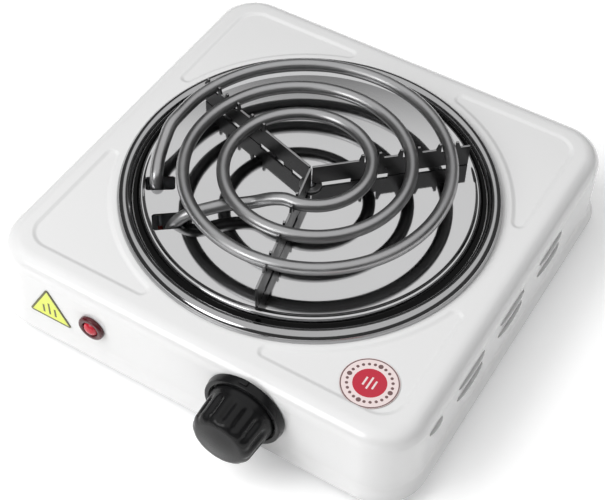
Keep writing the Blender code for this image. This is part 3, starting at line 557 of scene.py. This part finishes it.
def coil_stops():
    """The places that the tube's middle line runs through, from its inner leg to its outer one."""
    stops = [Vector((*INNER_LEG, coil_low.z)), Vector((*INNER_LEG, coil_low.z + 0.007))]
    for along, height in ((0.0006, pan_z - 0.0032), (0.0026, pan_z + 0.0008), (0.0062, TAIL_Z - 0.0020)):
        stops.append(Vector((INNER_LEG.x + along, INNER_LEG.y + along * 0.76, height)))
    for x, y, height in (
        (-0.0335, -0.0505, TAIL_Z),
        (-0.0295, -0.0455, TAIL_Z),
        (-0.0249, -0.0402, TAIL_Z),
        (-0.0190, -0.0355, TAIL_Z),
        (-0.0130, -0.0315, TAIL_Z + 0.0012),
        (-0.0060, -0.0292, TURN_Z - 0.0022),
    ):
        stops.append(Vector((MIDDLE.x + x, MIDDLE.y + y, height)))
    turns = 70
    for k in range(turns + 1):
        a = SPIRAL_START + (SPIRAL_END - SPIRAL_START) * k / turns
        r = min(SPIRAL_R + SPIRAL_PITCH * (a - SPIRAL_START) / math.tau, SPIRAL_REACH)
        stops.append(SPIRAL_CENTRE + Vector((r * math.cos(a), r * math.sin(a), TURN_Z)))
    reach = OUTER_LEG - BURNER.xy
    first = SPIRAL_END - 2 * math.tau
    last = math.atan2(reach.y, reach.x) + math.tau
    for share, drop in COIL_FALL:
        a = first + (last - first) * share
        r = reach.length - 0.0010 * (1 - share)
        stops.append(BURNER + Vector((r * math.cos(a), r * math.sin(a), TURN_Z - drop)))
    stops.append(Vector((*OUTER_LEG, TURN_Z - 0.0130)))
    stops.append(Vector((*OUTER_LEG, TURN_Z - 0.0205)))
    stops.append(Vector((*OUTER_LEG, coil_low.z)))
    return stops


def flowing(stops, step):
    """Points about a step apart along the smooth curve through the stops."""
    padded = [stops[0] * 2 - stops[1], *stops, stops[-1] * 2 - stops[-2]]
    points = []
    for a, b, c, d in zip(padded, padded[1:], padded[2:], padded[3:]):
        count = max(1, round((c - b).length / step))
        for k in range(count):
            t = k / count
            bend = (2 * a - 5 * b + 4 * c - d) * t**2 + (3 * b - a - 3 * c + d) * t**3
            points.append(0.5 * (2 * b + (c - a) * t + bend))
    points.append(stops[-1])
    return points


def drawn_tube(name, points, radius, finish, sides):
    """A round tube along a line of points, which rides on the housing."""
    curve = bpy.data.curves.new(name, "CURVE")
    curve.dimensions = "3D"
    line = curve.splines.new("POLY")
    line.points.add(len(points) - 1)
    for point, place in zip(line.points, points):
        point.co = (*place, 1)
    line.use_smooth = True
    curve.bevel_depth = radius
    curve.bevel_resolution = sides // 2 - 2
    curve.use_fill_caps = True
    curve.materials.append(finish)
    made = bpy.data.objects.new(name, curve)
    bpy.context.scene.collection.objects.link(made)
    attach(made, "housing")
    return made


sheath = surface(
    "steel_sheath_shaded_below", (0.47, 0.47, 0.475), 0.36, metallic=1, mottle=0.16, patch=55, grain=1500,
    relief=0.000004,
)
# Painted shade: the tube's colour is darkened underneath, where it faces down.
paint_shade(sheath, facing_up(sheath), -0.45, 0.10, 0.16)
COIL_STEP = 0.0024
coil_path = flowing(coil_stops(), COIL_STEP)
for point in coil_path:
    point.z = min(point.z, TURN_Z)
coil = drawn_tube("heating_coil", coil_path, TUBE_R, sheath, 28)
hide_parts("coil_element")

# Spider -------------------------------------------------------------------------------------
# Three blades of bare sheet steel stand on edge round a small hub and carry the coil. The turns
# rest in notches between upstanding ears; the sheared edges are only slightly rounded.


def softened(node, finish, name, width, segments=2, body="housing"):
    """A copy of a CAD node with its loose triangles merged and its edges slightly rounded."""
    bm = bmesh.new()
    bm.from_mesh(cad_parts[node].data)
    bmesh.ops.remove_doubles(bm, verts=bm.verts, dist=0.000005)
    bmesh.ops.dissolve_limit(bm, angle_limit=math.radians(1), verts=bm.verts, edges=bm.edges)
    keen = [e for e in bm.edges if e.is_manifold and e.calc_face_angle(0) > math.radians(35)]
    bmesh.ops.bevel(
        bm,
        geom=keen,
        offset=width,
        segments=segments,
        profile=0.5,
        affect="EDGES",
        material=-1,
        clamp_overlap=True,
    )
    made = piece(name, bm, finish, body, weighted=True)
    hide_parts(node)
    return made


bare_steel = surface(
    "bare_pressed_steel", (0.46, 0.46, 0.465), 0.34, metallic=1, mottle=0.22, patch=120, grain=2200
)
# Painted shade and highlight: the blades' colour is darkened wherever they do not face upwards, and their
# upward-facing sheared edges are left bright.
paint_shade(bare_steel, facing_up(bare_steel), 0.15, 0.85, 0.20)
for side in ("right", "left", "front"):
    arm = softened("support_arm_" + side, bare_steel, "coil_support_" + side, 0.00018)
hub = softened("spider_hub", bare_steel, "coil_support_hub", 0.0002)

# Knob ---------------------------------------------------------------------------------------
# A black phenolic bezel ring with an index tab stands on the front wall. The knob turns inside
# it: a waisted drum with grip flutes round its shoulder and a domed end, moulded in one piece.

knob_low, knob_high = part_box("control_knob")
KNOB_AXIS = Vector(((knob_low.x + knob_high.x) / 2, MIDDLE.y - HALF, (knob_low.z + knob_high.z) / 2))
FRONTWARDS = Matrix.Rotation(math.radians(90), 4, "X")
KNOB_LENGTH = KNOB_AXIS.y - knob_low.y
KNOB_R = (knob_high.x - knob_low.x) / 2
FLUTES = 14
FLUTE_DEPTH = 0.0011
FLUTE_FROM, FLUTE_TO = 0.0085, 0.0240
FLUTES_OUTSIDE = 0.0112

black = surface(
    "glossy_black_phenolic", (0.009, 0.009, 0.0095), 0.24, mottle=0.25, patch=90, grain=1800, relief=0.000004
)
black.node_tree.nodes["Principled BSDF"].inputs["Specular IOR Level"].default_value = 0.22

bezel = [(0.0176, 0.0004), (0.0204, 0.0004), (0.0206, 0.0012)]
bezel += arc(0.0196, 0.0036, 0.0006, 0.0012, 0, 90, 6) + arc(0.0183, 0.0043, 0.0007, 0.0005, 90, 180, 5)
ring_bm = spun(bezel, KNOB_AXIS, 128, FRONTWARDS)
tab = Matrix.Translation(KNOB_AXIS + Vector((0, -0.0020, 0.0202)))
tab = tab @ Matrix.Diagonal((0.0044, 0.0026, 0.0024, 1))
made = bmesh.ops.create_cube(ring_bm, size=1, matrix=tab)["verts"]
edges = list({e for v in made for e in v.link_edges})
bmesh.ops.bevel(ring_bm, geom=edges, offset=0.0004, segments=3, profile=0.5, affect="EDGES", material=-1)
bezel_ring = piece("knob_bezel_ring", ring_bm, black)
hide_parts("dial_bezel")


def knob_drum():
    """The drum is spun as a smooth turning, then its flutes are pressed in between the grip ribs."""
    drum = [(0.0, 0.0155), (0.0041, 0.0155), (0.0041, 0.0068), (0.0062, 0.0062)]
    drum += [(0.0062, 0.0110), (0.0130, 0.0110), (0.0140, 0.0024), (0.0162, 0.0022)]
    drum += [(KNOB_R, 0.0030), (KNOB_R - 0.0001, 0.0050)]
    drum += [(KNOB_R - 0.0004, 0.0062), (KNOB_R - 0.0008, 0.0074)]
    drum += [(KNOB_R - 0.0008 - 0.0006 * k / 12, 0.0080 + 0.0110 * k / 12) for k in range(13)]
    drum += arc(KNOB_R - 0.0060, 0.0194, 0.0046, 0.0046, 4, 86, 14)
    dome = KNOB_LENGTH - 0.0240
    drum += [(0.0106 * (1 - k / 8), 0.0240 + dome * math.sin(math.pi / 2 * k / 8)) for k in range(1, 9)]
    bm = spun(drum, (0, 0, 0), FLUTES * 14, closed=False)
    bmesh.ops.recalc_face_normals(bm, faces=bm.faces)
    for v in bm.verts:
        r = v.co.xy.length
        if r < FLUTES_OUTSIDE or not FLUTE_FROM < v.co.z < FLUTE_TO:
            continue
        wave = 0.5 - 0.5 * math.cos(FLUTES * math.atan2(v.co.y, v.co.x))
        along = (v.co.z - FLUTE_FROM) / (FLUTE_TO - FLUTE_FROM)
        fade = min(1, along * 6) * min(1, (1 - along) * 3)
        v.co.xy *= 1 - FLUTE_DEPTH * wave**2 * fade / r
    bmesh.ops.transform(bm, matrix=Matrix.Translation(KNOB_AXIS) @ FRONTWARDS, verts=bm.verts)
    return bm


knob = piece("fluted_knob", knob_drum(), black, "knob", sharp=50)
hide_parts("control_knob")

# Indicator lamp -----------------------------------------------------------------------------
# A dark red plastic collar in the front wall holds a clear red lens with a small dome. The neon
# bulb behind it, and the spring clip that holds the collar, are dressed with the inside parts.

lens_low, lens_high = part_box("lamp_lens")
LAMP_AXIS = Vector(((lens_low.x + lens_high.x) / 2, MIDDLE.y - HALF, (lens_low.z + lens_high.z) / 2))

maroon = surface(
    "dark_red_plastic", (0.075, 0.006, 0.010), 0.22, mottle=0.12, patch=200, grain=2500, relief=0.000003
)
red_lens = surface(
    "clear_red_lens", (0.62, 0.022, 0.045), 0.10, mottle=0.15, patch=300, grain=2500, relief=0.000003
)
red_lens.node_tree.nodes["Principled BSDF"].inputs["Transmission Weight"].default_value = 0.25
collar = [(0.0043, -0.0110), (0.0050, -0.0110), (0.0050, 0.0003), (0.0070, 0.0003)]
collar += arc(0.0058, 0.0012, 0.0012, 0.0013, 0, 90, 8) + arc(0.0052, 0.0017, 0.0009, 0.0008, 90, 180, 6)
collar_ring = piece("lamp_collar", spun(collar, LAMP_AXIS, 72, FRONTWARDS), maroon)
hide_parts("lamp_bezel")
dome = [(0.0, -0.0030), (0.0040, -0.0030), (0.0040, 0.0010)] + arc(0.0, 0.0010, 0.0040, 0.0026, 10, 90, 10)
dome[-1] = (0.0, dome[-1][1])
lens_dome = piece("lamp_lens_dome", spun(dome, LAMP_AXIS, 64, FRONTWARDS, closed=False), red_lens)
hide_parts("lamp_lens")

# Labels -------------------------------------------------------------------------------------
# Two printed adhesive labels with no words. The yellow triangle has a dark border, the round
# red and white one a rim and a red middle; both carry three plain bars for heat.

heat_low, heat_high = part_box("heat_label")
round_low, round_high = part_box("caution_label")
PRINT = 0.00004


def printed(name, colour, roughness, mottle):
    return surface(name, colour, roughness, mottle=mottle, patch=160, grain=1400, relief=0.000004)


yellow = printed("yellow_label_print", (0.74, 0.80, 0.12), 0.38, 0.05)
olive = printed("dark_label_print", (0.10, 0.10, 0.03), 0.42, 0.10)
umber = printed("dark_rim_print", (0.16, 0.09, 0.09), 0.42, 0.10)
red = printed("red_label_print", (0.50, 0.020, 0.045), 0.38, 0.08)
paper = printed("white_label_print", (0.80, 0.68, 0.67), 0.40, 0.03)


def bar(bm, centre, width, height, thick, material):
    """One printed bar, standing just proud of its label."""
    shape = centre @ Matrix.Diagonal((width, thick, height, 1))
    made = bmesh.ops.create_cube(bm, size=1, matrix=shape)["verts"]
    for face in {f for v in made for f in v.link_faces}:
        face.material_index = material


def heat_label():
    """The triangle, cut from a three-sided cone's end, with a border and three bars."""
    bm = bmesh.new()
    thick = heat_high.y - heat_low.y
    tip = 0.0148
    centre = Vector(((heat_low.x + heat_high.x) / 2, (heat_low.y + heat_high.y) / 2, heat_low.z + tip / 2))
    shape = Matrix.Translation(centre) @ FRONTWARDS
    bmesh.ops.create_cone(bm, cap_ends=True, segments=3, radius1=tip, radius2=tip, depth=thick, matrix=shape)
    sides = [e for e in bm.edges if abs(e.verts[0].co.y - e.verts[1].co.y) > thick / 2]
    bmesh.ops.bevel(bm, geom=sides, offset=0.0022, segments=6, profile=0.5, affect="EDGES", material=-1)
    bmesh.ops.recalc_face_normals(bm, faces=bm.faces)
    front = [f for f in bm.faces if f.normal.y < -0.9]
    for face in bm.faces:
        face.material_index = 1
    bmesh.ops.inset_region(bm, faces=front, thickness=0.0011, depth=0)
    front[0].material_index = 0
    for x, height in ((-0.0034, 0.0056), (0.0, 0.0082), (0.0034, 0.0056)):
        middle = Vector((centre.x + x, heat_low.y - PRINT / 2, heat_low.z + 0.0034 + height / 2))
        bar(bm, Matrix.Translation(middle), 0.0011, height, PRINT, 1)
    return bm


def caution_label():
    """The disc, with a rim, a band of dots round a red middle, and three bars."""
    bm = bmesh.new()
    radius = (round_high.x - round_low.x) / 2
    thick = round_high.z - round_low.z
    centre = (round_low + round_high) / 2
    shape = Matrix.Translation(centre)
    bmesh.ops.create_cone(
        bm, cap_ends=True, segments=96, radius1=radius, radius2=radius, depth=thick, matrix=shape
    )
    top = [f for f in bm.faces if f.normal.z > 0.9]
    for width, material in ((0.0002, 2), (0.0006, 0), (0.0050, 2)):
        bmesh.ops.inset_region(bm, faces=top, thickness=width, depth=0)
        for face in {f for e in top[0].edges for f in e.link_faces} - set(top):
            face.material_index = material
    top[0].material_index = 1
    dots = 24
    ring = radius - 0.0033
    for k in range(dots):
        a = math.tau * k / dots
        place = centre + Vector((ring * math.cos(a), ring * math.sin(a), thick / 2 + PRINT / 2))
        size = 0.00075 if k % 6 else 0.0012
        shape = Matrix.Translation(place)
        made = bmesh.ops.create_cone(
            bm, cap_ends=True, segments=12, radius1=size, radius2=size, depth=PRINT, matrix=shape
        )["verts"]
        for face in {f for v in made for f in v.link_faces}:
            face.material_index = 0
    for x, height in ((-0.0024, 0.0048), (0.0, 0.0070), (0.0024, 0.0048)):
        place = Matrix.Translation((centre.x + x, centre.y, round_high.z + PRINT / 2)) @ FRONTWARDS
        bar(bm, place, 0.0009, height, PRINT, 2)
    return bm


triangle = piece("heat_triangle_label", heat_label(), (yellow, olive))
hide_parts("heat_label")
disc = piece("round_heat_label", caution_label(), (umber, red, paper))
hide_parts("caution_label")

# Feet, base plate and cord gland ------------------------------------------------------------
# The zinc-plated base plate closes the housing from below. Four rubber feet are screwed to it,
# and a rubber gland in the rear wall is where the mains cord enters.

FOOT_PLACES = ("front_left", "front_right", "rear_left", "rear_right")
zinc = surface(
    "zinc_plated_steel", (0.52, 0.53, 0.55), 0.34, metallic=1, mottle=0.14, patch=60, relief=0.000004
)
rubber = surface(
    "matt_black_rubber", (0.028, 0.028, 0.028), 0.72, mottle=0.18, patch=150, grain=1600, relief=0.00003
)
plate = softened("base_plate", zinc, "bottom_plate", 0.00015)
nut = softened("tie_nut", zinc, "bottom_nut", 0.0003, 3)
for corner in FOOT_PLACES:
    low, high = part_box("rubber_foot_" + corner)
    place = Vector(((low.x + high.x) / 2, (low.y + high.y) / 2, 0))
    foot = [(0.0020, 0.0050), (0.0046, 0.0050), (0.0046, 0.0004), (0.0050, 0.0), (0.0082, 0.0)]
    foot += arc(0.0082, 0.0009, 0.0008, 0.0009, -70, 0, 5)
    foot += arc(0.0072, high.z - 0.0008, 0.0008, 0.0008, 10, 90, 5) + [(0.0020, high.z)]
    made = piece("foot_" + corner, spun(foot, place, 64), rubber)
    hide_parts("rubber_foot_" + corner)

gland_low, gland_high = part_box("cord_gland")
GLAND_AXIS = Vector(((gland_low.x + gland_high.x) / 2, MIDDLE.y + HALF, (gland_low.z + gland_high.z) / 2))
REARWARDS = Matrix.Rotation(math.radians(-90), 4, "X")
gland = [(0.0036, -0.0045), (0.0075, -0.0045), (0.0075, -0.0016)]
gland += [(0.0050, -0.0016), (0.0050, 0.0002), (0.0082, 0.0002)]
gland += arc(0.0077, 0.0010, 0.0008, 0.0008, -60, 90, 8) + [(0.0064, 0.0022)]
gland += arc(0.0055, 0.0042, 0.0007, 0.0008, 0, 90, 6) + arc(0.0043, 0.0043, 0.0007, 0.0007, 90, 180, 6)
made = piece("rear_cord_gland", spun(gland, GLAND_AXIS, 80, REARWARDS), rubber)
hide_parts("cord_gland")

# Inside -------------------------------------------------------------------------------------
# The thermostat, its brass blades on a ceramic stack, the shield, spacers, terminals and the
# sleeved leads keep their plain shapes; each only needs its own finish.

brass = surface(
    "plain_brass", (0.62, 0.44, 0.18), 0.30, metallic=1, mottle=0.12, patch=90, grain=1500, relief=0.000004
)
steatite = surface(
    "matt_steatite", (0.80, 0.77, 0.70), 0.60, mottle=0.06, patch=80, grain=1800, relief=0.00002
)
neon_glass = surface(
    "neon_bulb_glass", (0.85, 0.45, 0.25), 0.08, mottle=0.08, patch=120, grain=900, relief=0.000002
)
red_sleeve = surface("red_silicone_sleeve", (0.42, 0.03, 0.02), 0.50, mottle=0.10, patch=200, grain=1800)
blue_sleeve = surface("blue_silicone_sleeve", (0.03, 0.08, 0.34), 0.50, mottle=0.10, patch=200, grain=1800)
white_sleeve = surface("white_silicone_sleeve", (0.74, 0.74, 0.72), 0.50, mottle=0.05, patch=200, grain=1800)

dress(brass, "bush_nut", "thermostat_bush", "thermostat_spindle", "contact_blade", "fixed_contact_arm")
dress(brass, "input_tab", "output_tab", "terminal_screw_live", "terminal_screw_neutral", "earth_screw")
dress(steatite, "ceramic_bush_inner", "ceramic_bush_outer", "ceramic_stack", "terminal_block")
dress(zinc, "thermostat_bracket", "bracket_screw_left", "bracket_screw_right", "bimetal_strip", "knob_clip")
dress(zinc, "lamp_clip", "terminal_pin_inner", "terminal_pin_outer", "heat_shield", "shield_spacer")
dress(zinc, "tie_spacer", "tie_bolt", *("foot_screw_" + corner for corner in FOOT_PLACES))
dress(neon_glass, "neon_lamp")
dress(red_sleeve, "wire_live_feed", "wire_switched")
dress(blue_sleeve, "wire_neutral")
dress(white_sleeve, "lamp_lead_live", "lamp_lead_neutral")
